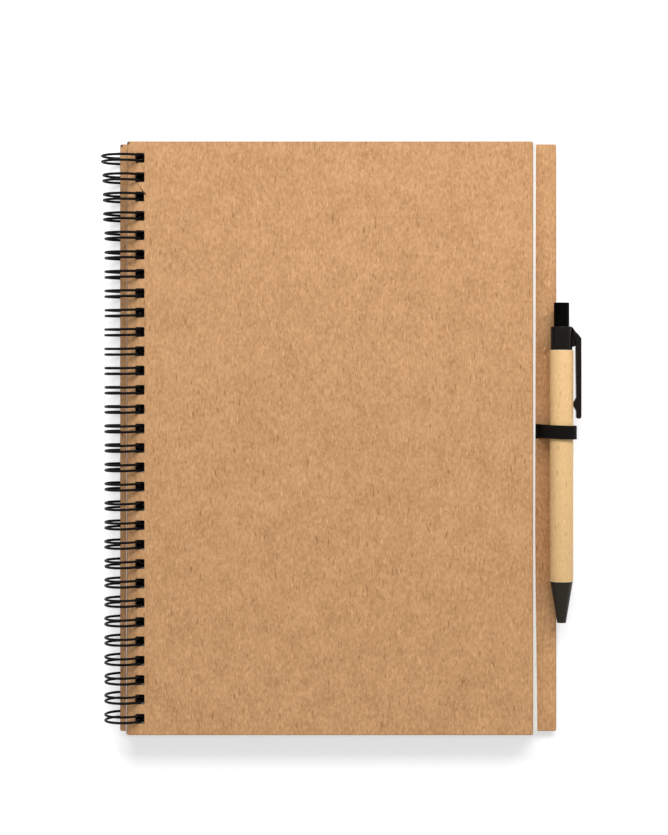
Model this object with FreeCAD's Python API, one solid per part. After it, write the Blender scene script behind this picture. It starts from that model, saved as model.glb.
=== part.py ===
# Twin-loop bound notebook with a retractable pen held in an elastic loop at its fore edge.
# Units are millimetres. +Z is up, +Y runs to the head of the book and the spine is at -X.
# The origin is on the table, under the middle of the closed front cover.
import FreeCAD
import Part
import os
from math import atan2, cos, degrees, pi, radians, sin, sqrt

# Covers and pages
book_height = 260.0
page_left = -89.45
page_width = 179.55
page_trim = 0.25
page_stack_thickness = 8.4
page_lean_at_spine = 0.5
upper_pages_thickness = 3.6
lower_pages_proud_at_head = 0.45
lower_pages_proud_at_foot = 1.2
front_cover_short_at_spine = 0.6
front_cover_short_at_fore_edge = 1.25
front_cover_thickness = 1.3
back_cover_beyond_spine = 3.55
back_cover_beyond_fore_edge = 10.15
back_cover_thickness = 1.6
back_cover_underside = 1.8
cover_corner_radius = 0.7
leaf_gap = 0.1

# Twin-loop wire
loop_pitch = 25.4 / 3
loop_end_margin = 7.0
loop_strand_spacing = 2.5
wire_diameter = 1.0
ring_mean_radius = 8.3
ring_axis_x = -90.55
ring_chords = 12
seam_angle = -90.0
seam_gap = 0.15

# Punched holes that the wire runs through
hole_length = 3.8
hole_width = 3.5
hole_clearance = 0.3

# Pen barrel, a rolled paper tube
barrel_from_pages = 5.3
barrel_foot = -62.95
barrel_length = 101.6
barrel_diameter = 10.3
barrel_wall = 0.8

# Pen cap: a collar and clip on a spigot that plugs the barrel
collar_diameter = 9.5
collar_length = 10.35
cap_edge_chamfer = 0.4
spigot_length = 12.0
spigot_clearance = 0.05
spigot_wall = 0.5
cap_lip_depth = 3.5
clip_width = 3.6
clip_reach = 8.6
clip_root_thickness = 2.5
clip_end_thickness = 2.2
clip_end_from_collar_top = 40.5
clip_slope_start_drop = 1.5
clip_slope_end_drop = 5.3
clip_slope_crown = 0.4
clip_web_thickness = 1.6
clip_web_drop = 8.9
clip_web_radius = 0.6
clip_web_start_drop = 3.6
clip_web_end_drop = 6.3
clip_stop_reach = 5.0
clip_stop_height = 0.8
clip_bump_gap = 0.1
clip_bump_start_drop = 31.1
clip_bump_length = 6.1
clip_bump_crest = 1.6

# Pen button and the cam under it
button_diameter = 6.8
button_exposed = 10.5
button_travel = 6.0
button_wall = 1.2
button_top_thickness = 1.5
button_edge_chamfer = 0.4
button_clearance = 0.1
button_flange_step = 0.25
button_flange_height = 2.0
button_skirt_length = 5.5
cam_clearance = 0.1
cam_teeth = 8
cam_tooth_height = 0.9
rotor_stem_height = 6.0
rotor_crown_height = 2.6
rotor_cup_wall = 0.8
rotor_cup_length = 6.0

# Refill, ball and return spring
refill_diameter = 3.0
refill_wall = 0.35
refill_fit = 0.03
refill_seat_depth = 4.0
point_protrusion = 3.0
point_shank_diameter = 2.4
point_shank_length = 12.4
point_cone_length = 3.6
point_tip_diameter = 1.0
point_plug_length = 4.0
point_flange_diameter = 4.9
point_flange_height = 1.2
ball_diameter = 0.8
ball_exposed = 0.25
spring_wire_diameter = 0.4
spring_mean_diameter = 4.3
spring_turns = 6
spring_chords = 8

# Pen nose cone
nose_length = 18.2
nose_base_diameter = 9.9
nose_tip_diameter = 3.9
nose_tip_chamfer = 0.3
nose_spigot_length = 8.0
nose_bore_clearance = 0.15
spring_chamber_diameter = 5.5

# Elastic pen loop: one ribbon folded over, its two ends bonded together as a tab
elastic_width = 6.0
elastic_ply = 0.8
elastic_below_clip = 2.65
elastic_clearance = 0.55
elastic_slack = 0.25
elastic_throat_from_pages = 2.05
elastic_tab_length = 18.0
elastic_tab_thickness = 1.1
elastic_tab_rise = 0.9
tab_pocket_margin = 0.3

# Heights of the layers, from the table up
back_cover_top = back_cover_underside + back_cover_thickness
page_bottom = back_cover_top + leaf_gap
page_top = page_bottom + page_stack_thickness
front_cover_bottom = page_top + leaf_gap
front_cover_top = front_cover_bottom + front_cover_thickness
page_right = page_left + page_width

# Where the covers end, and how many loops fit along the spine
front_cover_left = page_left + front_cover_short_at_spine
front_cover_width = page_right - front_cover_short_at_fore_edge - front_cover_left
back_cover_left = page_left - back_cover_beyond_spine
back_cover_width = page_right + back_cover_beyond_fore_edge - back_cover_left
loop_count = int((book_height - 2 * loop_end_margin) / loop_pitch) + 1

# The ring of the wire, which stands on the table
ring_inner_radius = ring_mean_radius - wire_diameter / 2
ring_outer_radius = ring_mean_radius + wire_diameter / 2
ring_axis_z = ring_outer_radius
wire_angle = degrees(wire_diameter / ring_mean_radius)
tip_angle = seam_angle + 360 - degrees(seam_gap / ring_mean_radius)
chord_step = (tip_angle - seam_angle) / ring_chords
ring_clear_radius = ring_inner_radius * cos(radians(chord_step / 2))

# Places along the pen, whose axis lies parallel to the spine
barrel_radius = barrel_diameter / 2
barrel_bore_radius = barrel_radius - barrel_wall
pen_axis_x = page_right + lower_pages_proud_at_foot + barrel_from_pages + barrel_radius
pen_axis_z = back_cover_top + elastic_ply + elastic_clearance + barrel_radius
barrel_head = barrel_foot + barrel_length
collar_top = barrel_head + collar_length
spigot_radius = barrel_bore_radius - spigot_clearance
cap_track_radius = spigot_radius - spigot_wall
cap_lip_y = collar_top - cap_lip_depth
clip_end_y = collar_top - clip_end_from_collar_top
elastic_centre_y = clip_end_y - elastic_below_clip - elastic_width / 2
button_radius = button_diameter / 2
button_bore_radius = button_radius - button_wall
button_top = collar_top + button_exposed
button_flange_top = cap_lip_y - button_clearance
button_foot = button_flange_top - button_flange_height - button_skirt_length
rotor_crown_top = button_foot + cam_tooth_height - cam_clearance
rotor_crown_foot = rotor_crown_top - rotor_crown_height
rotor_foot = rotor_crown_foot - rotor_cup_length
nose_tip = barrel_foot - nose_length
refill_radius = refill_diameter / 2
refill_bore_radius = refill_radius - refill_wall
point_tip = nose_tip - point_protrusion + button_travel
point_cone_top = point_tip + point_cone_length
point_flange_foot = point_cone_top + point_shank_length
refill_foot = point_flange_foot + point_flange_height
refill_top = rotor_foot + refill_seat_depth - refill_fit
spring_ledge_y = point_flange_foot - button_travel - (spring_turns + 1) * spring_wire_diameter
spring_pitch = (point_flange_foot - spring_ledge_y - spring_wire_diameter - cam_clearance) / spring_turns


def loop_centres():
    """Y of the middle of each twin loop, from the foot of the spine to its head."""
    first = -loop_pitch * (loop_count - 1) / 2
    return [first + loop_pitch * i for i in range(loop_count)]


def plate(outline, bottom, thickness):
    """A flat sheet with the given (x, y) outline."""
    points = [FreeCAD.Vector(x, y, bottom) for x, y in outline]
    face = Part.Face(Part.makePolygon(points + points[:1]))
    return face.extrude(FreeCAD.Vector(0, 0, thickness))


def rectangle(left, width, length):
    """An (x, y) outline centred on the book's height."""
    right = left + width
    half = length / 2
    return [(left, -half), (right, -half), (right, half), (left, half)]


def round_corners(sheet, radius):
    """Rounds the upright corners of a sheet, as its die does."""
    upright = [e for e in sheet.Edges if abs(e.tangentAt(e.FirstParameter).z) > 0.9]
    return sheet.makeFillet(radius, upright)


def punched(sheet, bottom, top):
    """Cuts the row of holes, each reaching past the wire at both faces of the sheet."""
    low = bottom - ring_axis_z
    high = top - ring_axis_z
    nearest = min(sqrt(ring_clear_radius**2 - h**2) for h in (low, high))
    level = 0.0 if low < 0 < high else min(abs(low), abs(high))
    farthest = sqrt(ring_outer_radius**2 - level**2)
    start = nearest - hole_clearance
    width = max(hole_width, farthest + hole_clearance - start)
    left = ring_axis_x + start
    cutters = []
    for y in loop_centres():
        corner = FreeCAD.Vector(left, y - hole_length / 2, bottom - leaf_gap)
        cutters.append(Part.makeBox(width, hole_length, top - bottom + 2 * leaf_gap, corner))
    return sheet.cut(Part.makeCompound(cutters))


def front_cover():
    """Recycled board, shorter than the pages at both long edges."""
    outline = rectangle(front_cover_left, front_cover_width, book_height)
    sheet = plate(outline, front_cover_bottom, front_cover_thickness)
    sheet = round_corners(sheet, cover_corner_radius)
    return punched(sheet, front_cover_bottom, front_cover_top)


def back_cover():
    """The same board, wide enough to carry the pen, with a pocket pressed in for the loop's tab."""
    outline = rectangle(back_cover_left, back_cover_width, book_height)
    sheet = plate(outline, back_cover_underside, back_cover_thickness)
    sheet = round_corners(sheet, cover_corner_radius)
    tab_left, tab_right = elastic_tab_span()
    pocket_width = elastic_width + 2 * tab_pocket_margin
    pocket = Part.makeBox(
        tab_right - tab_left + 2 * tab_pocket_margin,
        pocket_width,
        elastic_tab_thickness + leaf_gap,
        FreeCAD.Vector(
            tab_left - tab_pocket_margin,
            elastic_centre_y - pocket_width / 2,
            back_cover_top - elastic_tab_thickness,
        ),
    )
    return punched(sheet.cut(pocket), back_cover_underside, back_cover_top)


def page_block():
    """The leaves as one block, leaning a little at the spine. Its lower leaves have crept out."""
    length = book_height - 2 * page_trim
    outline = rectangle(page_left, page_width, length)
    outline[3] = (page_left + page_lean_at_spine, outline[3][1])
    upper = plate(outline, page_top - upper_pages_thickness, upper_pages_thickness)
    outline[1] = (page_right + lower_pages_proud_at_foot, outline[1][1])
    outline[2] = (page_right + lower_pages_proud_at_head, outline[2][1])
    lower = plate(outline, page_bottom, page_stack_thickness - upper_pages_thickness)
    return punched(upper.fuse(lower).removeSplitter(), page_bottom, page_top)


def ring_point(radius, angle, y):
    """A point of the ring, whose circle is bent in equal short chords."""
    chord = min(int((angle - seam_angle) / chord_step + 0.001), ring_chords - 1)
    off_middle = angle - seam_angle - (chord + 0.5) * chord_step
    reach = radius * cos(radians(chord_step / 2)) / cos(radians(off_middle))
    return FreeCAD.Vector(
        ring_axis_x + reach * cos(radians(angle)), y, ring_axis_z + reach * sin(radians(angle))
    )


def ring_part(start_angle, end_angle, y, length):
    """A stretch of the comb: part of the ring in the XZ plane, carried along the spine."""
    bends = [seam_angle + chord_step * i for i in range(1, ring_chords)]
    angles = [start_angle] + [a for a in bends if start_angle < a < end_angle] + [end_angle]
    inner = [ring_point(ring_inner_radius, a, y) for a in angles]
    outer = [ring_point(ring_outer_radius, a, y) for a in reversed(angles)]
    face = Part.Face(Part.makePolygon(inner + outer + inner[:1]))
    return face.extrude(FreeCAD.Vector(0, length, 0))


def wire_binding():
    """One wire bent into a comb and closed round the leaves.

    Each loop is two strands joined at the tip. Links at the root lead on to the next loop, and
    the tips meet the links at the seam, which is hidden under the back cover. The wire is given
    a square section of its own width, and chords for its circle, to keep sixty strands light.
    """
    strand = wire_diameter / 2
    parts = []
    centres = loop_centres()
    for y in centres:
        for side in (-1, 1):
            middle = y + side * loop_strand_spacing / 2
            parts.append(ring_part(seam_angle, tip_angle, middle - strand, wire_diameter))
        parts.append(
            ring_part(
                tip_angle - wire_angle,
                tip_angle,
                y - loop_strand_spacing / 2,
                loop_strand_spacing,
            )
        )
    for y in centres[:-1]:
        parts.append(
            ring_part(
                seam_angle,
                seam_angle + wire_angle,
                y + loop_strand_spacing / 2,
                loop_pitch - loop_strand_spacing,
            )
        )
    return parts[0].multiFuse(parts[1:]).removeSplitter()


def elastic_throat():
    """Where the two plies part, and the angle at which the upper one rises to the pen."""
    throat_x = page_right + lower_pages_proud_at_foot + elastic_throat_from_pages
    centre_x = pen_axis_x + elastic_slack
    inner_radius = barrel_radius + elastic_clearance
    rise = 2 * atan2(inner_radius, centre_x - throat_x)
    return throat_x, centre_x, inner_radius, rise


def elastic_tab_span():
    """The tab's ends along X, up to where the lower ply has climbed out of its pocket."""
    throat_x, _, _, rise = elastic_throat()
    top_end = throat_x - elastic_ply * (sin(rise) + (1 + cos(rise)) / (sin(rise) / cos(rise)))
    return top_end - elastic_tab_length, top_end + elastic_tab_rise


def pen_loop():
    """Ribbon round the pen: flat along the cover, round the pen and back down to the tab."""
    throat_x, centre_x, inner_radius, rise = elastic_throat()
    tab_left, tab_right = elastic_tab_span()
    tab_end = tab_right - elastic_tab_rise
    y = elastic_centre_y - elastic_width / 2
    run = centre_x - throat_x

    def point(x, z):
        return FreeCAD.Vector(x, y, z)

    def on_loop(radius, angle):
        return point(centre_x + radius * cos(angle), pen_axis_z + radius * sin(angle))

    def turn(radius):
        return Part.Arc(
            on_loop(radius, -pi / 2), on_loop(radius, rise / 2), on_loop(radius, rise + pi / 2)
        ).toShape()

    outer_radius = inner_radius + elastic_ply
    tab_bottom = back_cover_top - elastic_tab_thickness
    ply_top = back_cover_top + elastic_ply
    throat = point(throat_x, ply_top)
    inner = Part.Wire([
        Part.makeLine(throat, point(centre_x, ply_top)),
        turn(inner_radius),
        Part.makeLine(point(throat_x + run * cos(rise), ply_top + run * sin(rise)), throat),
    ])
    foot = [
        on_loop(outer_radius, rise + pi / 2),
        point(tab_end, back_cover_top),
        point(tab_left, back_cover_top),
        point(tab_left, tab_bottom),
        point(tab_end, tab_bottom),
        point(tab_right, back_cover_top),
        point(centre_x, back_cover_top),
    ]
    outer = Part.Wire([turn(outer_radius)] + Part.makePolygon(foot).Edges)
    ribbon = Part.Face([outer, inner])
    ribbon.validate()
    return ribbon.extrude(FreeCAD.Vector(0, elastic_width, 0))


def turned(profile):
    """A round pen piece, from (radius, y) points of its half section."""
    points = [FreeCAD.Vector(pen_axis_x + r, y, pen_axis_z) for r, y in profile]
    face = Part.Face(Part.makePolygon(points + points[:1]))
    centre = FreeCAD.Vector(pen_axis_x, 0, pen_axis_z)
    return face.revolve(centre, FreeCAD.Vector(0, 1, 0), 360)


def about_pen(shape, angle):
    """A copy turned about the pen's axis."""
    centre = FreeCAD.Vector(pen_axis_x, 0, pen_axis_z)
    copy = shape.copy()
    copy.rotate(centre, FreeCAD.Vector(0, 1, 0), angle)
    return copy


def pen_barrel():
    """Paper wound into a tube, open at both ends."""
    return turned([
        (barrel_bore_radius, barrel_foot),
        (barrel_radius, barrel_foot),
        (barrel_radius, barrel_head),
        (barrel_bore_radius, barrel_head),
    ])


def clip():
    """Clip arm with its crowned slope and gripping bump, on a thinner web beside the collar."""
    root = (barrel_bore_radius + collar_diameter / 2) / 2
    arm_inside = clip_reach - clip_end_thickness
    root_inside = clip_reach - clip_root_thickness
    web = collar_top - clip_web_drop
    bump_start = collar_top - clip_bump_start_drop
    bump_end = bump_start - clip_bump_length
    crest = barrel_radius + clip_bump_gap
    crest_middle = (bump_start + bump_end) / 2 + clip_bump_crest / 2
    tip_radius = clip_end_thickness / 2
    top = collar_top - cap_edge_chamfer
    slope_top = collar_top - clip_slope_start_drop
    slope_foot = collar_top - clip_slope_end_drop
    slope_start = collar_diameter / 2

    def point(x, y, z=0.0):
        return FreeCAD.Vector(pen_axis_x + x, y, pen_axis_z + z)

    run = clip_reach - slope_start
    fall = slope_top - slope_foot
    lean = clip_slope_crown / sqrt(run**2 + fall**2)
    crown_x = (slope_start + clip_reach) / 2 + lean * fall
    crown = point(crown_x, (slope_top + slope_foot) / 2 + lean * run)
    slope = Part.Arc(point(slope_start, slope_top), crown, point(clip_reach, slope_foot)).toShape()
    outside = point(clip_reach, clip_end_y + tip_radius)
    tip_middle = point(clip_reach - tip_radius, clip_end_y)
    tip = Part.Arc(outside, tip_middle, point(arm_inside, clip_end_y + tip_radius)).toShape()
    stop = Part.makePolygon([
        point(root, top),
        point(clip_stop_reach, top),
        point(clip_stop_reach, top - clip_stop_height),
        point(slope_start, slope_top),
    ])
    inside = Part.makePolygon([
        point(arm_inside, clip_end_y + tip_radius),
        point(arm_inside, bump_end),
        point(crest, crest_middle - clip_bump_crest / 2),
        point(crest, crest_middle + clip_bump_crest / 2),
        point(arm_inside, bump_start),
        point(root_inside, collar_top - clip_web_end_drop),
        point(slope_start, collar_top - clip_web_start_drop),
        point(root, collar_top - clip_web_start_drop),
        point(root, top),
    ])
    side = Part.makeLine(point(clip_reach, slope_foot), outside)
    face = Part.Face(Part.Wire(stop.Edges + [slope, side, tip] + inside.Edges))
    face.translate(FreeCAD.Vector(0, 0, -clip_width / 2))
    arm = face.extrude(FreeCAD.Vector(0, 0, clip_width))
    web_line = [
        (root, top),
        (slope_start, slope_top),
        (clip_reach - clip_root_thickness / 2, slope_foot),
        (clip_reach - clip_root_thickness / 2, web - clip_web_radius),
        (root_inside, web - clip_web_radius),
        (root_inside - clip_web_radius, web),
        (root, web),
    ]
    points = [point(x, y, -clip_web_thickness / 2) for x, y in web_line]
    web_face = Part.Face(Part.makePolygon(points + points[:1]))
    return arm.fuse(web_face.extrude(FreeCAD.Vector(0, 0, clip_web_thickness)))


def pen_cap():
    """Collar, clip and spigot in one moulding. The lip at its mouth keeps the button in."""
    collar_radius = collar_diameter / 2
    mouth = button_radius + button_clearance
    spigot_foot = barrel_head - spigot_length
    body = turned([
        (mouth, collar_top),
        (mouth, cap_lip_y),
        (cap_track_radius, cap_lip_y),
        (cap_track_radius, spigot_foot),
        (spigot_radius, spigot_foot),
        (spigot_radius, barrel_head),
        (collar_radius, barrel_head),
        (collar_radius, collar_top - cap_edge_chamfer),
        (collar_radius - cap_edge_chamfer, collar_top),
    ])
    return body.fuse(clip()).removeSplitter()


def crowned(body, apex_y, mouth_y, turn):
    """Cuts a ring of V notches into a tube's end, which leaves a crown of cam teeth."""
    half_width = pi * button_radius / cam_teeth
    outline = [
        FreeCAD.Vector(pen_axis_x - half_width, mouth_y, pen_axis_z),
        FreeCAD.Vector(pen_axis_x + half_width, mouth_y, pen_axis_z),
        FreeCAD.Vector(pen_axis_x, apex_y, pen_axis_z),
    ]
    face = Part.Face(Part.makePolygon(outline + outline[:1]))
    notch = face.extrude(FreeCAD.Vector(0, 0, cap_track_radius))
    notches = [about_pen(notch, turn + 360.0 / cam_teeth * i) for i in range(cam_teeth)]
    return body.cut(notches)


def pen_button():
    """Hollow plunger. Its flange sits under the cap's lip and its skirt bears on the cam."""
    flange_radius = button_radius + button_flange_step
    flange_foot = button_flange_top - button_flange_height
    body = turned([
        (0, button_top),
        (button_radius - button_edge_chamfer, button_top),
        (button_radius, button_top - button_edge_chamfer),
        (button_radius, button_flange_top),
        (flange_radius, button_flange_top),
        (flange_radius, flange_foot),
        (button_radius, flange_foot),
        (button_radius, button_foot),
        (button_bore_radius, button_foot),
        (button_bore_radius, button_top - button_top_thickness),
        (0, button_top - button_top_thickness),
    ])
    return crowned(body, button_foot + cam_tooth_height, button_foot, 0.0)


def pen_cam_rotor():
    """Cam that the button pushes: a toothed crown under a guide stem, and a cup for the refill."""
    stem_radius = button_bore_radius - button_clearance
    seat_radius = refill_radius + refill_fit
    seat = rotor_foot + refill_seat_depth
    stem_top = rotor_crown_top + rotor_stem_height
    crown = turned([
        (0, rotor_crown_top),
        (button_radius, rotor_crown_top),
        (button_radius, rotor_crown_foot),
        (seat_radius + rotor_cup_wall, rotor_crown_foot),
        (seat_radius + rotor_cup_wall, rotor_foot),
        (seat_radius, rotor_foot),
        (seat_radius, seat),
        (0, seat),
    ])
    crown = crowned(crown, rotor_crown_top - cam_tooth_height, rotor_crown_top, 180.0 / cam_teeth)
    stem = turned([
        (0, stem_top),
        (stem_radius, stem_top),
        (stem_radius, rotor_crown_foot),
        (0, rotor_crown_foot),
    ])
    return crown.fuse(stem).removeSplitter()


def refill_tube():
    """Thin plastic tube that holds the ink."""
    return turned([
        (refill_bore_radius, refill_foot),
        (refill_radius, refill_foot),
        (refill_radius, refill_top),
        (refill_bore_radius, refill_top),
    ])


def refill_ink():
    """The ink column, from the point's plug up to where the filling ends."""
    radius = refill_bore_radius - refill_fit
    foot = refill_foot + point_plug_length
    fill_top = foot + (refill_top - foot) * 0.85
    return turned([(0, foot), (radius, foot), (radius, fill_top), (0, fill_top)])


def refill_point():
    """Metal writing point: plug, spring flange, shank and cone, with a seat for the ball."""
    plug_radius = refill_bore_radius - refill_fit
    shank_radius = point_shank_diameter / 2
    tip_radius = point_tip_diameter / 2
    body = turned([
        (0, refill_foot + point_plug_length),
        (plug_radius, refill_foot + point_plug_length),
        (plug_radius, refill_foot),
        (point_flange_diameter / 2, refill_foot),
        (point_flange_diameter / 2, point_flange_foot),
        (shank_radius, point_flange_foot),
        (shank_radius, point_cone_top),
        (tip_radius, point_tip),
        (0, point_tip),
    ])
    seat = Part.makeCylinder(
        ball_diameter / 2 + refill_fit / 2,
        ball_diameter - ball_exposed + refill_fit,
        FreeCAD.Vector(pen_axis_x, point_tip, pen_axis_z),
        FreeCAD.Vector(0, 1, 0),
    )
    return body.cut(seat)


def pen_spring():
    """Return spring between the point's flange and the ledge inside the nose."""
    half = spring_wire_diameter / 2
    middle = spring_mean_diameter / 2
    start = spring_ledge_y + half + cam_clearance / 2

    def section(step):
        rise = start + spring_pitch * step / spring_chords
        points = [
            FreeCAD.Vector(pen_axis_x + middle + r, rise + h, pen_axis_z)
            for r, h in ((-half, -half), (half, -half), (half, half), (-half, half))
        ]
        return about_pen(Part.makePolygon(points + points[:1]), 360.0 * step / spring_chords)

    steps = range(spring_turns * spring_chords + 1)
    return Part.makeLoft([section(step) for step in steps], True, True)


def pen_nose_cone():
    """Tapered moulding plugged into the barrel. A ledge inside it holds the spring."""
    bore = point_shank_diameter / 2 + nose_bore_clearance
    chamber = spring_chamber_diameter / 2
    tip_radius = nose_tip_diameter / 2
    spigot_top = barrel_foot + nose_spigot_length
    return turned([
        (bore, nose_tip),
        (tip_radius - nose_tip_chamfer, nose_tip),
        (tip_radius, nose_tip + nose_tip_chamfer),
        (nose_base_diameter / 2, barrel_foot),
        (spigot_radius, barrel_foot),
        (spigot_radius, spigot_top),
        (chamber, spigot_top),
        (chamber, spring_ledge_y),
        (bore, spring_ledge_y),
    ])


def refill_ball():
    """Hard metal ball that rolls the ink out, a part of it standing out of the point."""
    y = point_tip - ball_exposed + ball_diameter / 2
    return Part.makeSphere(ball_diameter / 2, FreeCAD.Vector(pen_axis_x, y, pen_axis_z))


makers = [
    front_cover,
    back_cover,
    page_block,
    wire_binding,
    pen_loop,
    pen_barrel,
    pen_cap,
    pen_button,
    pen_nose_cone,
    pen_cam_rotor,
    refill_tube,
    refill_ink,
    refill_point,
    refill_ball,
    pen_spring,
]

os.makedirs("parts", exist_ok=True)
for make in makers:
    make().exportStep("parts/" + make.__name__ + ".step")
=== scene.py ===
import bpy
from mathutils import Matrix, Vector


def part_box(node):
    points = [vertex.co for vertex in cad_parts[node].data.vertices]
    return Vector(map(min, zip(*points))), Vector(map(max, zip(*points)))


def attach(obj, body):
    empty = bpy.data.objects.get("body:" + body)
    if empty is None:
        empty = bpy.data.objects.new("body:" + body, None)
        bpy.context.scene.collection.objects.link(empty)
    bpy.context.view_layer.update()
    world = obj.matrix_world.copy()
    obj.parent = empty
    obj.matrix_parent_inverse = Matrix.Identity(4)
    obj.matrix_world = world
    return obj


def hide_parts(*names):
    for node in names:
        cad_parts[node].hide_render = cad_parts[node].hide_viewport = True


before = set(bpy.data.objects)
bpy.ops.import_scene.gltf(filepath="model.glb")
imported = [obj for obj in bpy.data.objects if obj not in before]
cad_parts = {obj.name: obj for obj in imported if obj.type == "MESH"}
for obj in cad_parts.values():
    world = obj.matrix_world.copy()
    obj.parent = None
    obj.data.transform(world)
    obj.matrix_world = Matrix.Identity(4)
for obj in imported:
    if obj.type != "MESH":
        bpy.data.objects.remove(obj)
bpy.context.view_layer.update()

import math
import random

import bmesh
import bpy
from mathutils import Vector

mm = 0.001


# The view is straight down on the closed book, as in the photograph. The lens is 0.8 m above
# the cover, and a small shift lets the book lie below the lens's own axis.
cover_top_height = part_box("front_cover")[1].z
lens_height = 800 * mm
lens_place = (1.75 * mm, 22.0 * mm)
camera_data = bpy.data.cameras.new("studio_camera")
camera_data.sensor_fit = "VERTICAL"
camera_data.sensor_height = 36.0
camera_data.lens = 78.8
camera_data.shift_y = -0.0353
camera = bpy.data.objects.new("studio_camera", camera_data)
camera.location = (*lens_place, cover_top_height + lens_height)
bpy.context.collection.objects.link(camera)
bpy.context.scene.camera = camera
bpy.context.scene.view_settings.view_transform = "Standard"


# The studio: a pale table, even white air and one broad lamp beyond the head of the book.
# The table glows a little for the camera alone, so that it shows as white and keeps the shadow:
# more beside the spine and far away, and not at all under the book, where it would fill the holes.
def put(tree, kind, **inputs):
    """Adds a shader node. An input given a socket is linked to it, and any other is set."""
    node = tree.nodes.new("ShaderNode" + kind)
    for name, value in inputs.items():
        socket = node.inputs[name.replace("_", " ")]
        if isinstance(value, bpy.types.NodeSocket):
            tree.links.new(value, socket)
        else:
            socket.default_value = value
    return node


def worked(tree, operation, *values):
    """The result of a Math node on sockets or plain numbers."""
    node = tree.nodes.new("ShaderNodeMath")
    node.operation = operation
    for socket, value in zip(node.inputs, values):
        if isinstance(value, bpy.types.NodeSocket):
            tree.links.new(value, socket)
        else:
            socket.default_value = value
    return node.outputs[0]


def seen_directly(tree, shown, hidden):
    """A value for what the camera and reflections see, and another for the light it gives."""
    path = tree.nodes.new("ShaderNodeLightPath")
    seen = path.outputs["Is Camera Ray"]
    for kind in ("Is Glossy Ray", "Is Transmission Ray"):
        seen = worked(tree, "MAXIMUM", seen, path.outputs[kind])
    return put(tree, "MapRange", Value=seen, To_Min=hidden, To_Max=shown).outputs["Result"]


world = bpy.data.worlds.new("studio_air")
bpy.context.scene.world = world
world.use_nodes = True
world_tree = world.node_tree
air = world_tree.nodes["Background"]
air.inputs["Color"].default_value = (1.0, 1.0, 1.0, 1.0)
air_light = 0.43
world_tree.links.new(seen_directly(world_tree, 1.0, air_light), air.inputs["Strength"])

table_half = 3.0
table_drop = 0.05 * mm
book_middle_x, book_reach_x, book_reach_y = 0.0035, 0.0940, 0.1275
shade_edge = 0.002
glow_near, glow_by_spine, glow_far = 0.40, 0.58, 0.60
table_bm = bmesh.new()
bmesh.ops.create_grid(table_bm, x_segments=1, y_segments=1, size=table_half)
bmesh.ops.translate(table_bm, verts=table_bm.verts, vec=(0, 0, -table_drop))
table_mesh = bpy.data.meshes.new("table_top")
table_bm.to_mesh(table_mesh)
table_bm.free()
table = bpy.data.objects.new("table_top", table_mesh)
bpy.context.collection.objects.link(table)
table_paint = bpy.data.materials.new("table white")
table_paint.use_nodes = True
table_tree = table_paint.node_tree
table_shader = table_tree.nodes["Principled BSDF"]
table_shader.inputs["Base Color"].default_value = (0.86, 0.87, 0.89, 1.0)
table_shader.inputs["Roughness"].default_value = 0.9
table_shader.inputs["Specular IOR Level"].default_value = 0.1
table_shader.inputs["Emission Color"].default_value = (1.0, 1.0, 1.0, 1.0)
table_place = table_tree.nodes.new("ShaderNodeTexCoord").outputs["Object"]
table_axes = put(table_tree, "SeparateXYZ", Vector=table_place).outputs
past_book = None
for axis, middle, reach in (("X", book_middle_x, book_reach_x), ("Y", 0.0, book_reach_y)):
    off_middle = worked(table_tree, "SUBTRACT", table_axes[axis], middle)
    distance = worked(table_tree, "ABSOLUTE", off_middle)
    beyond = put(
        table_tree, "MapRange", Value=distance, From_Min=reach, From_Max=reach + shade_edge
    ).outputs["Result"]
    past_book = beyond if past_book is None else worked(table_tree, "MAXIMUM", past_book, beyond)
by_spine = put(
    table_tree, "MapRange", Value=table_axes["X"],
    From_Min=-0.100, From_Max=-0.088, To_Min=glow_by_spine, To_Max=glow_near,
).outputs["Result"]
from_middle = table_tree.nodes.new("ShaderNodeVectorMath")
from_middle.operation = "LENGTH"
table_tree.links.new(table_place, from_middle.inputs[0])
far_off = put(
    table_tree, "MapRange", Value=from_middle.outputs["Value"],
    From_Min=0.40, From_Max=1.20, To_Min=0.0, To_Max=glow_far,
).outputs["Result"]
shown = worked(table_tree, "ADD", by_spine, far_off)
glow = worked(table_tree, "MULTIPLY", seen_directly(table_tree, shown, 0.0), past_book)
table_tree.links.new(glow, table_shader.inputs["Emission Strength"])
table_mesh.materials.append(table_paint)

lamp_data = bpy.data.lights.new("head_lamp", "AREA")
lamp_data.shape = "RECTANGLE"
lamp_data.size = 1.3
lamp_data.size_y = 0.5
lamp_data.energy = 12.6
lamp = bpy.data.objects.new("head_lamp", lamp_data)
lamp.location = (0.15, 0.85, 0.80)
lamp.rotation_euler = (Vector((0.0, 0.0, 0.0)) - lamp.location).to_track_quat("-Z", "Y").to_euler()
bpy.context.collection.objects.link(lamp)


# Back cover: one sheet of stiff recycled board, die-cut wider than the book so that it also
# carries the pen. It is punched for the wire, and a shallow pocket takes the loop's tab.
loop_count = 30
loop_pitch = 25.4 / 3
loop_centres = [loop_pitch * (i - (loop_count - 1) / 2) for i in range(loop_count)]
strand_spacing = 2.5
ring_axis_x = -90.55
ring_axis_z = 8.8
ring_radius = 8.24
wire_radius = 0.56
ring_chords = 12
hole_length = 3.8
hole_width = 3.5
hole_clearance = 0.3
board_rim = 0.28
board_corner = 0.7


def punch_span(bottom, top):
    """The row of holes' reach in X, past the wire at both faces of a sheet, in millimetres."""
    low, high = bottom - ring_axis_z, top - ring_axis_z
    clear = (ring_radius - wire_radius) * math.cos(math.pi / ring_chords)
    start = min(math.sqrt(clear**2 - h**2) for h in (low, high)) - hole_clearance
    level = 0.0 if low < 0 < high else min(abs(low), abs(high))
    end = math.sqrt((ring_radius + wire_radius) ** 2 - level**2) + hole_clearance
    return ring_axis_x + start, ring_axis_x + max(start + hole_width, end)


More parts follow.
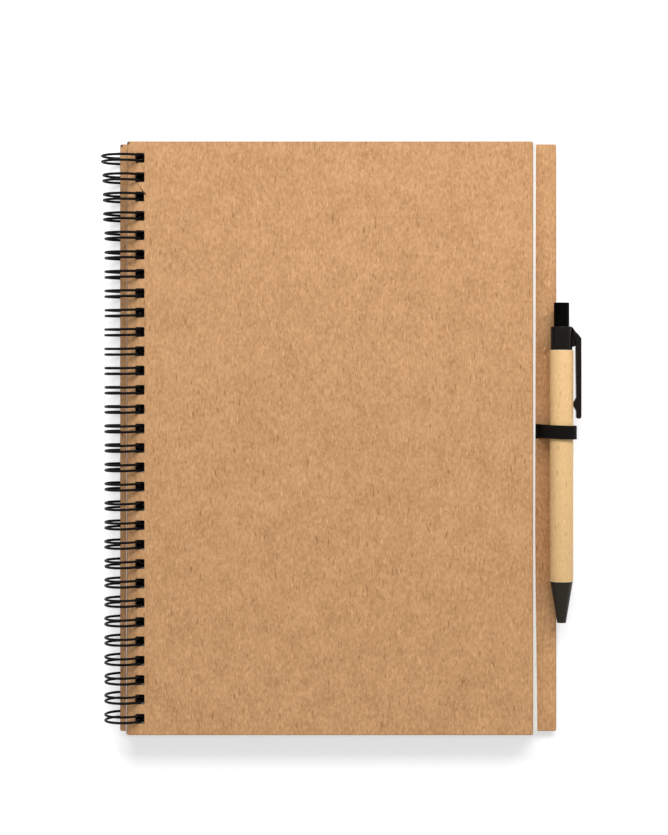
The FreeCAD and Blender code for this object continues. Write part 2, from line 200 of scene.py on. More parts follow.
def cut_line(bm, points, corner, height):
    """A closed line through (x, y) points in millimetres, its corners rounded."""
    corners = [bm.verts.new((x * mm, y * mm, height * mm)) for x, y in points]
    bm.faces.new(corners)
    bmesh.ops.bevel(
        bm, geom=corners, offset=corner * mm, affect="VERTICES",
        segments=3, profile=0.5, material=-1,
    )


def box_line(left, right, low, high):
    """The (x, y) corners of an upright rectangle."""
    return [(left, low), (right, low), (right, high), (left, high)]


def sheet_shape(outline, corner, bottom, top, span, hole_corner):
    """A flat sheet with rounded corners, punched once for each loop of the wire."""
    bm = bmesh.new()
    cut_line(bm, outline, corner, bottom)
    for y in loop_centres:
        hole = box_line(span[0], span[1], y - hole_length / 2, y + hole_length / 2)
        cut_line(bm, hole, hole_corner, bottom)
    bmesh.ops.delete(bm, geom=bm.faces[:], context="FACES_ONLY")
    bmesh.ops.triangle_fill(bm, use_beauty=True, edges=bm.edges[:], normal=(0, 0, 1))
    raised = bmesh.ops.extrude_face_region(bm, geom=bm.faces[:])["geom"]
    upper = [v for v in raised if isinstance(v, bmesh.types.BMVert)]
    bmesh.ops.translate(bm, verts=upper, vec=(0, 0, (top - bottom) * mm))
    bmesh.ops.recalc_face_normals(bm, faces=bm.faces)
    return bm


def soften(bm, radius, segments=2, sharper_than=50.0):
    """Rounds every edge that turns by more than the given angle."""
    limit = math.radians(sharper_than)
    sharp = [e for e in bm.edges if e.is_manifold and e.calc_face_angle() > limit]
    bmesh.ops.bevel(
        bm, geom=sharp, offset=radius * mm, affect="EDGES",
        segments=segments, profile=0.5, material=-1,
    )


def carved(bm, cutter):
    """The first solid with the second cut out of it."""
    parts = []
    for name, solid in (("carved_stock", bm), ("carved_tool", cutter)):
        mesh = bpy.data.meshes.new(name)
        solid.to_mesh(mesh)
        solid.free()
        part = bpy.data.objects.new(name, mesh)
        bpy.context.collection.objects.link(part)
        parts.append(part)
    stock, tool = parts
    cut = stock.modifiers.new("cut", "BOOLEAN")
    cut.operation = "DIFFERENCE"
    cut.object = tool
    bpy.context.view_layer.update()
    shape = bpy.data.meshes.new_from_object(
        stock.evaluated_get(bpy.context.evaluated_depsgraph_get())
    )
    result = bmesh.new()
    result.from_mesh(shape)
    bpy.data.meshes.remove(shape)
    for part in parts:
        mesh = part.data
        bpy.data.objects.remove(part)
        bpy.data.meshes.remove(mesh)
    return result


def finished(name, bm, body, node, materials, smooth_below=None):
    """Makes a bmesh the shown piece for a CAD node, riding on its body."""
    mesh = bpy.data.meshes.new(name)
    bm.to_mesh(mesh)
    bm.free()
    if smooth_below is not None:
        mesh.shade_smooth()
        mesh.set_sharp_from_angle(angle=math.radians(smooth_below))
    for each in materials:
        mesh.materials.append(each)
    piece = bpy.data.objects.new(name, mesh)
    bpy.context.collection.objects.link(piece)
    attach(piece, body)
    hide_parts(node)
    return piece


def finish_of(name):
    """A new material, its node tree and its shader."""
    made = bpy.data.materials.new(name)
    made.use_nodes = True
    return made, made.node_tree, made.node_tree.nodes["Principled BSDF"]


def group_of(name, inputs, outputs):
    """A shader node group with float or vector sockets, and its input and output nodes."""
    group = bpy.data.node_groups.new(name, "ShaderNodeTree")
    for label, kind in inputs:
        group.interface.new_socket(label, in_out="INPUT", socket_type="NodeSocket" + kind)
    for label, kind in outputs:
        group.interface.new_socket(label, in_out="OUTPUT", socket_type="NodeSocket" + kind)
    return group, group.nodes.new("NodeGroupInput"), group.nodes.new("NodeGroupOutput")


def mixed(tree, amount, first, second, mode="MIX"):
    """Two colours mixed. Each is a socket or (r, g, b)."""
    node = tree.nodes.new("ShaderNodeMix")
    node.data_type = "RGBA"
    node.blend_type = mode
    for socket, value in ((node.inputs[0], amount), (node.inputs[6], first), (node.inputs[7], second)):
        if isinstance(value, bpy.types.NodeSocket):
            tree.links.new(value, socket)
        elif isinstance(value, tuple):
            socket.default_value = (*value, 1.0)
        else:
            socket.default_value = value
    return node.outputs[2]


def sharpened(tree, value, low, high):
    """A mask that is 0 below low, 1 above high and even between them."""
    return put(tree, "MapRange", Value=value, From_Min=low, From_Max=high).outputs["Result"]


pulp, pulp_in, pulp_out = group_of(
    "pulp fibre",
    [("Place", "Vector"), ("Grain", "Float")],
    [
        ("Mottle", "Float"), ("Cloud", "Float"), ("Shive", "Float"),
        ("Fleck", "Float"), ("Height", "Float"),
    ],
)
pulp_place = pulp_in.outputs["Place"]
along_grain = put(pulp, "Mapping", Vector=pulp_place, Scale=(1.0, 0.55, 1.0)).outputs["Vector"]
fine = put(
    pulp, "TexNoise", Vector=along_grain, Scale=pulp_in.outputs["Grain"], Detail=3.0, Roughness=0.7
).outputs["Fac"]
cloud = put(pulp, "TexNoise", Vector=pulp_place, Scale=110.0, Detail=3.0).outputs["Fac"]
pulp.links.new(sharpened(pulp, fine, 0.34, 0.66), pulp_out.inputs["Mottle"])
pulp.links.new(sharpened(pulp, cloud, 0.30, 0.70), pulp_out.inputs["Cloud"])


def laid_strands(turns, scale, low, high):
    """A mask of loose strands that lie at a few angles across the sheet."""
    mask = None
    for tilt, offset in turns:
        laid = put(
            pulp, "Mapping", Vector=pulp_place, Location=(offset, offset, 0.0),
            Rotation=(0.0, 0.0, tilt), Scale=(1.0, 0.2, 1.0),
        ).outputs["Vector"]
        strands = put(pulp, "TexNoise", Vector=laid, Scale=scale, Detail=1.0).outputs["Fac"]
        found = sharpened(pulp, strands, low, high)
        mask = found if mask is None else worked(pulp, "MAXIMUM", mask, found)
    return mask


shive = laid_strands(((0.10, 0.0), (-0.28, 0.31), (0.62, 0.57)), 1000.0, 0.70, 0.78)
fleck = laid_strands(((-0.15, 0.83), (0.4, 0.44)), 1300.0, 0.66, 0.76)
pulp.links.new(shive, pulp_out.inputs["Shive"])
pulp.links.new(fleck, pulp_out.inputs["Fleck"])
pulp.links.new(fine, pulp_out.inputs["Height"])


def pulp_finish(name, dark, light, speck, grain, rough, bump, dark_spots=()):
    """Paper or board: fibres between two colours, soft clouds, light flecks and dark shives."""
    made, tree, shader = finish_of(name)
    place = tree.nodes.new("ShaderNodeTexCoord").outputs["Object"]
    fibres = put(tree, "Group")
    fibres.node_tree = pulp
    tree.links.new(place, fibres.inputs["Place"])
    fibres.inputs["Grain"].default_value = grain
    body = mixed(tree, fibres.outputs["Mottle"], dark, light)
    body = mixed(tree, 0.30, body, mixed(tree, fibres.outputs["Cloud"], dark, light))
    pale = tuple(min(c * 1.18, 1.0) for c in light)
    paler = put(tree, "MapRange", Value=fibres.outputs["Fleck"], To_Max=0.7).outputs["Result"]
    body = mixed(tree, paler, body, pale)
    flecks = put(tree, "MapRange", Value=fibres.outputs["Shive"], To_Max=0.6).outputs["Result"]
    body = mixed(tree, flecks, body, speck)
    # The colour turns darker within about a millimetre of each given point.
    for x, y in dark_spots:
        away = tree.nodes.new("ShaderNodeVectorMath")
        away.operation = "DISTANCE"
        flat = put(tree, "Mapping", Vector=place, Scale=(1.0, 1.0, 0.0)).outputs["Vector"]
        tree.links.new(flat, away.inputs[0])
        away.inputs[1].default_value = (x * mm, y * mm, 0.0)
        near = put(
            tree, "MapRange", Value=away.outputs["Value"],
            From_Min=0.6 * mm, From_Max=1.4 * mm, To_Min=0.85, To_Max=0.0,
        ).outputs["Result"]
        body = mixed(tree, near, body, (0.060, 0.035, 0.020))
    tree.links.new(body, shader.inputs["Base Color"])
    shader.inputs["Specular IOR Level"].default_value = 0.3
    tree.links.new(
        put(
            tree, "MapRange", Value=fibres.outputs["Mottle"], To_Min=rough + 0.06, To_Max=rough - 0.06
        ).outputs["Result"],
        shader.inputs["Roughness"],
    )
    relief = put(tree, "Bump", Height=fibres.outputs["Height"], Distance=bump * mm, Strength=0.6)
    tree.links.new(relief.outputs["Normal"], shader.inputs["Normal"])
    return made


# Two points by the corners at the head of the spine, round which the boards' colour is darker.
dark_corner_spots = [(-88.6, 129.5), (-92.7, 129.5)]
board_face = pulp_finish(
    "recycled brown board", (0.465, 0.237, 0.095), (0.735, 0.413, 0.198), (0.240, 0.110, 0.040),
    950.0, 0.66, 0.12, dark_corner_spots,
)
board_edge = pulp_finish(
    "cut board edge", (0.330, 0.135, 0.045), (0.500, 0.235, 0.090), (0.160, 0.075, 0.030),
    2200.0, 0.85, 0.20, dark_corner_spots,
)
# The walls of the holes carry painted shade: a near-black colour that stands for the deep shade inside
# them.
painted_shade_hole_wall = pulp_finish(
    "painted shade hole wall", (0.020, 0.015, 0.010), (0.045, 0.035, 0.025), (0.012, 0.010, 0.008),
    2200.0, 0.9, 0.05,
)


def mark_cut_edges(bm, hole_left, hole_right, cut, walls):
    """Gives the sheet's outer cut faces one material number and the walls of its holes another."""
    for face in bm.faces:
        if abs(face.normal.z) > 0.97:
            continue
        x = face.calc_center_median().x / mm
        face.material_index = walls if hole_left - 0.4 < x < hole_right + 0.4 else cut


back_low, back_high = (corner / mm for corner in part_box("back_cover"))
pocket_left, pocket_right = 73.8, 93.3
pocket_half_width = 3.3
pocket_depth = 1.1
elastic_centre_y = 2.85
back_span = punch_span(back_low.z, back_high.z)
back_bm = sheet_shape(
    box_line(back_low.x, back_high.x, back_low.y, back_high.y),
    board_corner, back_low.z, back_high.z, back_span, 0.25,
)
soften(back_bm, board_rim)
pocket_bm = bmesh.new()
bmesh.ops.create_cube(pocket_bm, size=1.0)
for vert in pocket_bm.verts:
    vert.co = Vector((
        pocket_right if vert.co.x > 0 else pocket_left,
        elastic_centre_y + 2 * vert.co.y * pocket_half_width,
        back_high.z + (0.5 if vert.co.z > 0 else -pocket_depth),
    )) * mm
back_bm = carved(back_bm, pocket_bm)
mark_cut_edges(back_bm, *back_span, 1, 2)
finished(
    "back_board", back_bm, "back_cover", "back_cover",
    [board_face, board_edge, painted_shade_hole_wall],
)

# Leaves: a stack of thin off-white writing paper, each leaf punched for the wire. The lower
# leaves have crept out past the upper ones at the fore edge, more so towards the foot.
page_low, page_high = (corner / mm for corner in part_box("page_block"))
chance = random.Random(30)
leaf_pitch = 0.1
leaf_thickness = 0.088
leaf_left_at_foot = page_low.x
leaf_left_at_head = page_low.x + 0.5
upper_leaf_right_at_head = 90.30
upper_leaf_right_at_foot = 89.75
lower_fore_edge = [
    (page_high.x, page_low.y), (91.15, -114.0), (90.50, -60.0), (90.25, -32.0), (90.20, 60.0),
    (90.55, page_high.y),
]
upper_fore_edge = [(upper_leaf_right_at_foot, page_low.y), (upper_leaf_right_at_head, page_high.y)]
upper_leaves = 36
leaf_count = round((page_high.z - page_low.z) / leaf_pitch)
leaf_wander = 0.10
page_span = punch_span(page_low.z, page_high.z)


def leaf_mesh(name, fore_edge):
    """One leaf at the height of the lowest, to be copied up the stack."""
    outline = [(leaf_left_at_foot, page_low.y), *fore_edge, (leaf_left_at_head, page_high.y)]
    bm = sheet_shape(
        outline, 0.4, page_low.z, page_low.z + leaf_thickness, page_span, 0.05
    )
    mark_cut_edges(bm, *page_span, 0, 1)
    mesh = bpy.data.meshes.new(name)
    bm.to_mesh(mesh)
    bm.free()
    return mesh


paper = pulp_finish(
    "off-white paper", (0.900, 0.890, 0.850), (0.965, 0.955, 0.925), (0.700, 0.660, 0.580),
    2600.0, 0.80, 0.03,
)
lower_leaf = leaf_mesh("lower_leaf", lower_fore_edge)
upper_leaf = leaf_mesh("upper_leaf", upper_fore_edge)
stack_bm = bmesh.new()
for i in range(leaf_count):
    first = len(stack_bm.verts)
    stack_bm.from_mesh(lower_leaf if i < leaf_count - upper_leaves else upper_leaf)
    stack_bm.verts.ensure_lookup_table()
    drift = Vector((-chance.uniform(0, leaf_wander), chance.uniform(-1, 1) * leaf_wander / 2, 0))
    if i in (0, leaf_count - upper_leaves - 1, leaf_count - 1):
        drift = Vector((0, 0, 0))
    lift = Vector((0, 0, leaf_pitch * i))
    bmesh.ops.translate(stack_bm, verts=stack_bm.verts[first:], vec=(drift + lift) * mm)
for used in (lower_leaf, upper_leaf):
    bpy.data.meshes.remove(used)
finished(
    "page_leaves", stack_bm, "page_block", "page_block", [paper, painted_shade_hole_wall]
)

# Front cover: the same board, cut to the pages' height and a little short of both long edges.
# The boards' colour is darker within about a millimetre of two points by the corners at the head of
# the spine.
front_low, front_high = (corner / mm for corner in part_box("front_cover"))
front_span = punch_span(front_low.z, front_high.z)
front_bm = sheet_shape(
    box_line(front_low.x, front_high.x, front_low.y, front_high.y),
    board_corner, front_low.z, front_high.z, front_span, 0.25,
)
soften(front_bm, board_rim)
mark_cut_edges(front_bm, *front_span, 1, 2)
finished(
    "front_board", front_bm, "front_cover", "front_cover",
    [board_face, board_edge, painted_shade_hole_wall],
)

# Twin-loop wire: one black coated steel wire bent flat into a comb, then closed into a ring
# after the leaves were threaded on. The tips meet the links under the back cover.
link_angle = math.radians(-90.0) + wire_radius / ring_radius
tip_angle = math.radians(270.0) - (wire_radius + 0.15) / ring_radius
comb_length = (tip_angle - link_angle) * ring_radius
link_corner = 0.8
tip_bend = strand_spacing / 2
strand_steps = 26
bend_steps = 6
flared_loops = (0.6, 0.7, 0.9, 1.55)


def comb_points():
    """The wire laid flat, as (way round the ring, y, loop number) in millimetres."""
    points = []
    for i, y in enumerate(loop_centres):
        for side, steps in ((-1, range(bend_steps + 1)), (1, range(bend_steps, -1, -1))):
            strand_y = y + side * tip_bend
            bend = []
            for step in steps:
                turn = math.pi / 2 * step / bend_steps
                bend.append((
                    link_corner * (1 - math.cos(turn)),
                    strand_y + side * link_corner * (1 - math.sin(turn)),
                    i,
                ))
            run = comb_length - tip_bend - link_corner
            straight = [
                (link_corner + run * k / strand_steps, strand_y, i) for k in range(1, strand_steps)
            ]
            if side < 0:
                points += bend + straight
                points += [
                    (
                        comb_length - tip_bend + tip_bend * math.sin(math.pi * k / 10),
                        y - tip_bend * math.cos(math.pi * k / 10),
                        i,
                    )
                    for k in range(11)
                ]
            else:
                points += list(reversed(straight)) + bend
    return points


def rolled(way, y, loop):
    """A point of the flat comb once it is rolled into the ring."""
    angle = link_angle + way / ring_radius
    from_head = loop_count - 1 - loop
    flare = flared_loops[3 - from_head] if from_head < 4 else 0.0
    outward = max(0.0, -math.cos(angle))
    past_hole = min(max((math.degrees(angle) - 35.0) / 165.0, 0.0), 1.0)
    lean = loop_lean[loop] * math.sin(math.pi * past_hole)
    return Vector((
        ring_axis_x + ring_radius * math.cos(angle) - (flare + loop_swell[loop]) * outward,
        y + lean,
        ring_axis_z + ring_radius * math.sin(angle),
    )) * mm


row_sag = 0.30
loop_lean = [
    chance.uniform(-0.04, 0.04) - row_sag * math.sin(math.pi * i / (loop_count - 1))
    for i in range(loop_count)
]
loop_swell = [chance.uniform(0.0, 0.10) for _ in loop_centres]
wire_line = bpy.data.curves.new("wire_line", "CURVE")
wire_line.dimensions = "3D"
wire_line.bevel_depth = wire_radius * mm
wire_line.bevel_resolution = 2
wire_line.use_fill_caps = True
spline = wire_line.splines.new("POLY")
wire_points = [rolled(*point) for point in comb_points()]
spline.points.add(len(wire_points) - 1)
for place, point in zip(spline.points, wire_points):
    place.co = (*point, 1.0)
wire_guide = bpy.data.objects.new("wire_guide", wire_line)
bpy.context.collection.objects.link(wire_guide)
bpy.context.view_layer.update()
wire_shape = bpy.data.meshes.new_from_object(
    wire_guide.evaluated_get(bpy.context.evaluated_depsgraph_get())
)
bpy.data.objects.remove(wire_guide)
wire_bm = bmesh.new()
wire_bm.from_mesh(wire_shape)
bmesh.ops.remove_doubles(wire_bm, verts=wire_bm.verts, dist=0.001 * mm)
bmesh.ops.recalc_face_normals(wire_bm, faces=wire_bm.faces)
bpy.data.meshes.remove(wire_shape)

wire_coat, tree, shader = finish_of("black coated wire")
place = tree.nodes.new("ShaderNodeTexCoord").outputs["Object"]
orange_peel = put(tree, "TexNoise", Vector=place, Scale=2200.0, Detail=2.0).outputs["Fac"]
rubbed = put(tree, "TexNoise", Vector=place, Scale=260.0, Detail=3.0).outputs["Fac"]
tree.links.new(
    mixed(tree, sharpened(tree, rubbed, 0.35, 0.75), (0.003, 0.003, 0.003), (0.007, 0.0065, 0.006)),
    shader.inputs["Base Color"],
)
tree.links.new(
    put(tree, "MapRange", Value=rubbed, To_Min=0.30, To_Max=0.52).outputs["Result"],
    shader.inputs["Roughness"],
)
shader.inputs["Specular IOR Level"].default_value = 0.06
peel = put(tree, "Bump", Height=orange_peel, Distance=0.02 * mm, Strength=0.5)
tree.links.new(peel.outputs["Normal"], shader.inputs["Normal"])
finished(
    "twin_loop_wire", wire_bm, "back_cover", "wire_binding", [wire_coat], 60.0
)

# Pen loop: black ribbed elastic, one ribbon folded round the pen with its two ends bonded
# together. That tab is glued in the pocket, under the leaves.
pen_axis_x = 101.75
pen_axis_z = 9.9
elastic_width = 6.0
elastic_ply = 0.8
elastic_tab = 1.1
loop_centre_x = 102.0
loop_radius = 6.1
throat_x = 93.35
loop_rise = 2 * math.atan2(loop_radius - elastic_ply / 2, loop_centre_x - throat_x)
tab_left = 74.1
tab_end = 92.1
cover_top = back_high.z
rib_count = 6
rib_depth = 0.14
rib_steps = 6
elastic_skew = math.radians(-1.6)


def ribbon_line():
    """The ribbon's middle as (x, z, thickness), from the tab round the pen and back to it."""
    tab_z = cover_top - elastic_tab / 2
    ply_z = cover_top + elastic_ply / 2
    line = [(tab_left + (tab_end - tab_left) * k / 12, tab_z, elastic_tab) for k in range(13)]
    line += [(93.0, cover_top - 0.25, 0.95), (94.1, ply_z, elastic_ply)]
    line += [(94.1 + (loop_centre_x - 94.1) * k / 8, ply_z, elastic_ply) for k in range(1, 8)]
    swing = math.pi + loop_rise
    for k in range(49):
        angle = -math.pi / 2 + swing * k / 48
        line.append((
            loop_centre_x + loop_radius * math.cos(angle),
            pen_axis_z + loop_radius * math.sin(angle),
            elastic_ply,
        ))
    end_x, end_z, _ = line[-1]
    reach = 8.65
    for k in range(1, 13):
        along = reach * k / 12
        line.append((
            end_x - along * math.cos(loop_rise), end_z - along * math.sin(loop_rise), elastic_ply
        ))
    line.append((tab_end + 0.3, cover_top + 0.12, 0.4))
    return line


ribbon = ribbon_line()
rib_marks = rib_count * rib_steps
across = [(k / rib_marks, 1) for k in range(rib_marks + 1)]
across += [(k / rib_marks, -1) for k in range(rib_marks, -1, -1)]
across.append(across[0])
ribbon_bm = bmesh.new()
bmesh.ops.create_grid(
    ribbon_bm, x_segments=len(ribbon) - 1, y_segments=len(across) - 1, size=0.5
)
for vert in ribbon_bm.verts:
    step = round((vert.co.x + 0.5) * (len(ribbon) - 1))
    share, side = across[round((vert.co.y + 0.5) * (len(across) - 1))]
    x, z, thickness = ribbon[step]
    before = ribbon[max(step - 1, 0)]
    after = ribbon[min(step + 1, len(ribbon) - 1)]
    way = Vector((after[0] - before[0], 0, after[1] - before[1])).normalized()
    out = Vector((way.z, 0, -way.x))
    groove = rib_depth * (0.5 - 0.5 * math.cos(2 * math.pi * rib_count * share)) ** 0.5
    edge = min(share, 1 - share) * elastic_width
    half = thickness / 2 - rib_depth + groove
    half *= math.sqrt(min(1.0, 0.25 + edge / 0.35))
    y = elastic_centre_y + (share - 0.5) * elastic_width
    y += (x - throat_x) * math.tan(elastic_skew) if x > throat_x else 0.0
    vert.co = (Vector((x, y, z)) + out * side * half) * mm
bmesh.ops.remove_doubles(ribbon_bm, verts=ribbon_bm.verts, dist=0.002 * mm)
ends = [e for e in ribbon_bm.edges if e.is_boundary]
bmesh.ops.holes_fill(ribbon_bm, edges=ends, sides=0)
bmesh.ops.recalc_face_normals(ribbon_bm, faces=ribbon_bm.faces)

elastic, tree, shader = finish_of("black ribbed elastic")
place = tree.nodes.new("ShaderNodeTexCoord").outputs["Object"]
picks = put(tree, "TexWave", Vector=place, Scale=620.0, Distortion=0.6, Detail=1.0)
picks.bands_direction = "X"
fuzz = put(tree, "TexNoise", Vector=place, Scale=3200.0, Detail=3.0).outputs["Fac"]
weave = worked(tree, "MULTIPLY", picks.outputs["Fac"], fuzz)
tree.links.new(
    mixed(tree, weave, (0.0022, 0.0018, 0.0015), (0.013, 0.010, 0.008)),
    shader.inputs["Base Color"],
)
tree.links.new(
    put(tree, "MapRange", Value=fuzz, To_Min=0.95, To_Max=0.7).outputs["Result"],
    shader.inputs["Roughness"],
)
shader.inputs["Specular IOR Level"].default_value = 0.1
threads = put(tree, "Bump", Height=weave, Distance=0.10 * mm, Strength=0.7)
tree.links.new(threads.outputs["Normal"], shader.inputs["Normal"])
finished(
    "elastic_ribbon", ribbon_bm, "back_cover", "pen_loop", [elastic], 70.0
)

# Pen barrel: paper wound into a tube and covered with smooth brown paper. Its two cut ends and their
# rounded rims are coloured light cream, and show as fine lines against the black mouldings.
barrel_foot = -62.95
barrel_head = 38.65
barrel_radius = 5.15
barrel_bore = 4.35


def spun(bm, profile, steps=80):
    """Turns a half section, (radius, y) in millimetres, about the pen's axis."""
    verts = [bm.verts.new(((pen_axis_x + r) * mm, y * mm, pen_axis_z * mm)) for r, y in profile]
    pairs = list(zip(verts, verts[1:]))
    if profile[0][0] > 0 or profile[-1][0] > 0:
        pairs.append((verts[-1], verts[0]))
    lines = [bm.edges.new(pair) for pair in pairs]
    bmesh.ops.spin(
        bm, geom=verts + lines, cent=(pen_axis_x * mm, 0, pen_axis_z * mm), axis=(0, 1, 0),
        angle=2 * math.pi, steps=steps, use_merge=True,
    )
    bmesh.ops.remove_doubles(bm, verts=bm.verts, dist=0.001 * mm)
    bmesh.ops.recalc_face_normals(bm, faces=bm.faces)


barrel_bm = bmesh.new()
spun(barrel_bm, [
    (barrel_bore, barrel_foot), (barrel_radius, barrel_foot),
    (barrel_radius, barrel_head), (barrel_bore, barrel_head),
])
soften(barrel_bm, 0.14, 3)
for face in barrel_bm.faces:
    middle = face.calc_center_median() / mm
    face.material_index = 1 if not barrel_foot + 0.12 < middle.y < barrel_head - 0.12 else 0
barrel_paper = pulp_finish(
    "smooth brown barrel paper", (0.790, 0.500, 0.224), (0.900, 0.600, 0.285), (0.500, 0.290, 0.115),
    1500.0, 0.52, 0.02,
)
barrel_end = pulp_finish(
    "cream tube end", (0.860, 0.760, 0.520), (0.960, 0.880, 0.660), (0.640, 0.500, 0.300),
    3000.0, 0.7, 0.05,
)
finished(
    "barrel_tube", barrel_bm, "back_cover", "pen_barrel",
    [barrel_paper, barrel_end], 40.0,
)

# Pen cap: collar, clip and spigot in one black moulding, plugged into the barrel. The clip
# grips with a bump near its end, and a web ties its root to the collar.
collar_top = 49.0
collar_radius = 4.75
button_mouth = 3.5
cap_lip = 45.5
track_radius = 3.8
spigot_radius = 4.3
spigot_foot = barrel_head - 12.0
clip_reach = 8.6
clip_inside = 6.4
clip_root_inside = 6.1
clip_width = 3.6
clip_end = collar_top - 40.5
clip_root_x = 4.55
clip_stop_x = 5.0
clip_stop_top = collar_top - 0.4
clip_stop_foot = collar_top - 1.2
slope_top_drop, slope_fall, slope_bulge = 1.5, 3.8, 0.4
bump_crest_x = 5.25
bump_foot, bump_low, bump_high, bump_top = 11.8, 14.1, 15.7, 17.9
arm_root_foot = collar_top - 6.3
arm_root_top = collar_top - 3.6
web_thickness = 1.6
web_foot = collar_top - 8.9
web_corner = 0.6

black_wear, wear_in, wear_out = group_of(
    "moulded black", [("Place", "Vector")], [("Tone", "Float"), ("Scuff", "Float")]
)
wear_place = wear_in.outputs["Place"]
tone = put(black_wear, "TexNoise", Vector=wear_place, Scale=420.0, Detail=3.0).outputs["Fac"]
scuffed = put(black_wear, "Mapping", Vector=wear_place, Scale=(1.0, 0.2, 1.0)).outputs["Vector"]
scuff = put(black_wear, "TexNoise", Vector=scuffed, Scale=1900.0, Detail=5.0).outputs["Fac"]
black_wear.links.new(tone, wear_out.inputs["Tone"])
black_wear.links.new(scuff, wear_out.inputs["Scuff"])


def moulded_finish(name, dark, light, smoothest, roughest, specular):
    """Injection-moulded plastic with faint flow marks and fine scuffs."""
    made, tree, shader = finish_of(name)
    place = tree.nodes.new("ShaderNodeTexCoord").outputs["Object"]
    wear = put(tree, "Group")
    wear.node_tree = black_wear
    tree.links.new(place, wear.inputs["Place"])
    tree.links.new(mixed(tree, wear.outputs["Tone"], dark, light), shader.inputs["Base Color"])
    tree.links.new(
        put(
            tree, "MapRange", Value=wear.outputs["Scuff"], To_Min=smoothest, To_Max=roughest
        ).outputs["Result"],
        shader.inputs["Roughness"],
    )
    shader.inputs["Specular IOR Level"].default_value = specular
    grain = put(tree, "Bump", Height=wear.outputs["Scuff"], Distance=0.01 * mm, Strength=0.4)
    tree.links.new(grain.outputs["Normal"], shader.inputs["Normal"])
    return made


cap_bm = bmesh.new()
spun(cap_bm, [
    (button_mouth, collar_top), (button_mouth, cap_lip), (track_radius, cap_lip),
    (track_radius, spigot_foot), (spigot_radius, spigot_foot), (spigot_radius, barrel_head),
    (collar_radius, barrel_head), (collar_radius, collar_top),
])
soften(cap_bm, 0.35, 3)


def side_plate(points, rounded, corner, width, radius):
    """A plate beside the pen with the given (x, y) side line, some of its corners rounded."""
    bm = bmesh.new()
    verts = [
        bm.verts.new(((pen_axis_x + x) * mm, y * mm, (pen_axis_z - width / 2) * mm))
        for x, y in points
    ]
    bm.faces.new(verts)
    bmesh.ops.bevel(
        bm, geom=[verts[i] for i in rounded], offset=corner * mm, affect="VERTICES",
        segments=6, profile=0.5, material=-1,
    )
    lifted = bmesh.ops.extrude_face_region(bm, geom=bm.faces[:])["geom"]
    bmesh.ops.translate(
        bm, verts=[v for v in lifted if isinstance(v, bmesh.types.BMVert)],
        vec=(0, 0, width * mm),
    )
    bmesh.ops.recalc_face_normals(bm, faces=bm.faces)
    soften(bm, radius, 3, 60.0)
    mesh = bpy.data.meshes.new("side_plate")
    bm.to_mesh(mesh)
    bm.free()
    return mesh


clip_slope = []
for k in range(7):
    share = k / 6
    bulge = slope_bulge * 4 * share * (1 - share) * 0.70
    clip_slope.append((
        collar_radius + (clip_reach - collar_radius) * share + bulge,
        collar_top - slope_top_drop - slope_fall * share + bulge,
    ))
clip_line = [
    (clip_inside, clip_end), (clip_inside, bump_foot), (bump_crest_x, bump_low),
    (bump_crest_x, bump_high), (clip_inside, bump_top), (clip_root_inside, arm_root_foot),
    (collar_radius, arm_root_top), (clip_root_x, arm_root_top), (clip_root_x, clip_stop_top),
    (clip_stop_x, clip_stop_top), (clip_stop_x, clip_stop_foot), *clip_slope,
    (clip_reach, clip_end),
]
clip_arm = side_plate(clip_line, (0, len(clip_line) - 1), 1.0, clip_width, 0.3)
web_middle = clip_reach - 1.2
web_plate = side_plate(
    [
        (clip_root_x, collar_top - 2.0), (clip_root_x, web_foot),
        (clip_root_inside - web_corner, web_foot), (clip_root_inside, web_foot + web_corner),
        (web_middle, web_foot + web_corner), (web_middle, collar_top - 5.3),
    ],
    (2, 3), 0.25, web_thickness, 0.15,
)
for used in (clip_arm, web_plate):
    cap_bm.from_mesh(used)
    bpy.data.meshes.remove(used)
cap_black = moulded_finish(
    "black cap plastic", (0.0040, 0.0030, 0.0020), (0.0080, 0.0058, 0.0040), 0.20, 0.32, 0.12
)
finished(
    "cap_moulding", cap_bm, "back_cover", "pen_cap", [cap_black], 35.0
)

# Press button: a hollow black plunger. Its flange stays under the cap's lip, and the teeth
# round its skirt turn the cam when it is pressed.
button_radius = 3.4
button_top = collar_top + 10.5
flange_radius = 3.65
flange_top = cap_lip - 0.1
flange_foot = flange_top - 2.0
button_foot = flange_foot - 5.5
button_bore = 2.2
button_ceiling = button_top - 1.5
teeth = 8
tooth_height = 0.9
button_bm = bmesh.new()
spun(button_bm, [
    (0, button_top), (button_radius, button_top), (button_radius, flange_top),
    (flange_radius, flange_top), (flange_radius, flange_foot), (button_radius, flange_foot),
    (button_radius, button_foot), (button_bore, button_foot), (button_bore, button_ceiling),
    (0, button_ceiling),
], 64)
soften(button_bm, 0.2, 3)
for vert in button_bm.verts:
    height = vert.co.y / mm - button_foot
    if height < 0.3:
        turn = math.atan2(vert.co.z - pen_axis_z * mm, vert.co.x - pen_axis_x * mm)
        wave = abs(((turn / (2 * math.pi) * teeth) % 1.0) * 2 - 1)
        vert.co.y += tooth_height * wave * mm
button_black = moulded_finish(
    "black button plastic", (0.0012, 0.0011, 0.0010), (0.0024, 0.0021, 0.0018), 0.30, 0.45, 0.015
)
finished(
    "button_plunger", button_bm, "pen_button", "pen_button", [button_black], 35.0
)

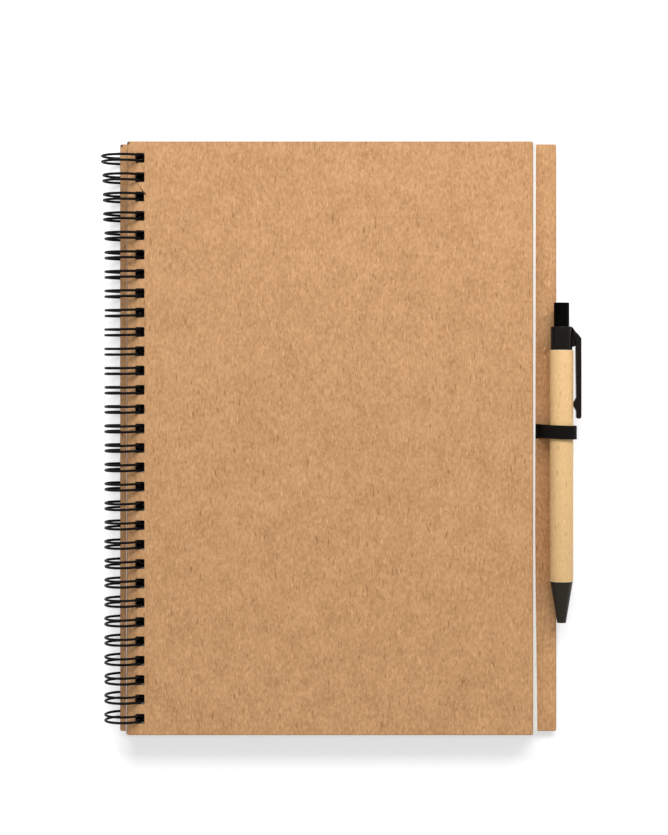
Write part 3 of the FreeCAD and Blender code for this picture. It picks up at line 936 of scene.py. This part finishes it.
# Nose: a black moulded cone plugged into the barrel's other end. Its bore lets the writing
# point through, and a ledge inside carries the spring.
nose_tip = barrel_foot - 18.2
nose_bore = 1.35
nose_tip_radius = 1.95
nose_base_radius = 4.95
nose_step = 0.25
nose_spigot = 8.0
spring_chamber = 2.75
spring_ledge = -70.95
nose_bm = bmesh.new()
spun(nose_bm, [
    (nose_bore, nose_tip), (nose_tip_radius, nose_tip),
    (nose_base_radius, barrel_foot - nose_step), (nose_base_radius, barrel_foot),
    (spigot_radius, barrel_foot), (spigot_radius, barrel_foot + nose_spigot),
    (spring_chamber, barrel_foot + nose_spigot), (spring_chamber, spring_ledge),
    (nose_bore, spring_ledge),
])
soften(nose_bm, 0.2, 3, 35.0)
nose_black = moulded_finish(
    "black nose plastic", (0.015, 0.0110, 0.0050), (0.022, 0.0165, 0.0085), 0.24, 0.36, 0.20
)
finished(
    "nose_moulding", nose_bm, "back_cover", "pen_nose_cone", [nose_black], 35.0
)

# Inside the pen: the cam, the refill with its ink, the turned metal point and its ball, and
# the return spring. They keep the frame's own shapes, and take their finishes here.
metal_turned, turned_in, turned_out = group_of(
    "turning marks", [("Place", "Vector")], [("Rings", "Float")]
)
rings = put(metal_turned, "TexWave", Vector=turned_in.outputs["Place"], Scale=2600.0)
rings.bands_direction = "Y"
metal_turned.links.new(rings.outputs["Fac"], turned_out.inputs["Rings"])


def metal_finish(name, colour, rough):
    """Bright metal with the fine rings that a lathe or a drawing die leaves."""
    made, tree, shader = finish_of(name)
    place = tree.nodes.new("ShaderNodeTexCoord").outputs["Object"]
    marks = put(tree, "Group")
    marks.node_tree = metal_turned
    tree.links.new(place, marks.inputs["Place"])
    darker = tuple(c * 0.8 for c in colour)
    tree.links.new(mixed(tree, marks.outputs["Rings"], darker, colour), shader.inputs["Base Color"])
    tree.links.new(
        put(
            tree, "MapRange", Value=marks.outputs["Rings"], To_Min=rough, To_Max=rough + 0.1
        ).outputs["Result"],
        shader.inputs["Roughness"],
    )
    shader.inputs["Metallic"].default_value = 1.0
    return made


inner_finishes = {
    "pen_cam_rotor": moulded_finish(
        "pale cam plastic", (0.68, 0.68, 0.66), (0.78, 0.78, 0.76), 0.35, 0.5, 0.5
    ),
    "refill_tube": moulded_finish(
        "milky refill plastic", (0.62, 0.63, 0.64), (0.74, 0.75, 0.76), 0.2, 0.4, 0.5
    ),
    "refill_ink": moulded_finish(
        "black ink", (0.004, 0.004, 0.008), (0.010, 0.010, 0.018), 0.1, 0.2, 0.5
    ),
    "refill_point": metal_finish("nickel point", (0.66, 0.62, 0.54), 0.22),
    "refill_ball": metal_finish("hard ball", (0.72, 0.72, 0.74), 0.12),
    "pen_spring": metal_finish("spring steel", (0.56, 0.57, 0.60), 0.28),
}
for node, finish in inner_finishes.items():
    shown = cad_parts[node].data
    shown.materials.clear()
    shown.materials.append(finish)
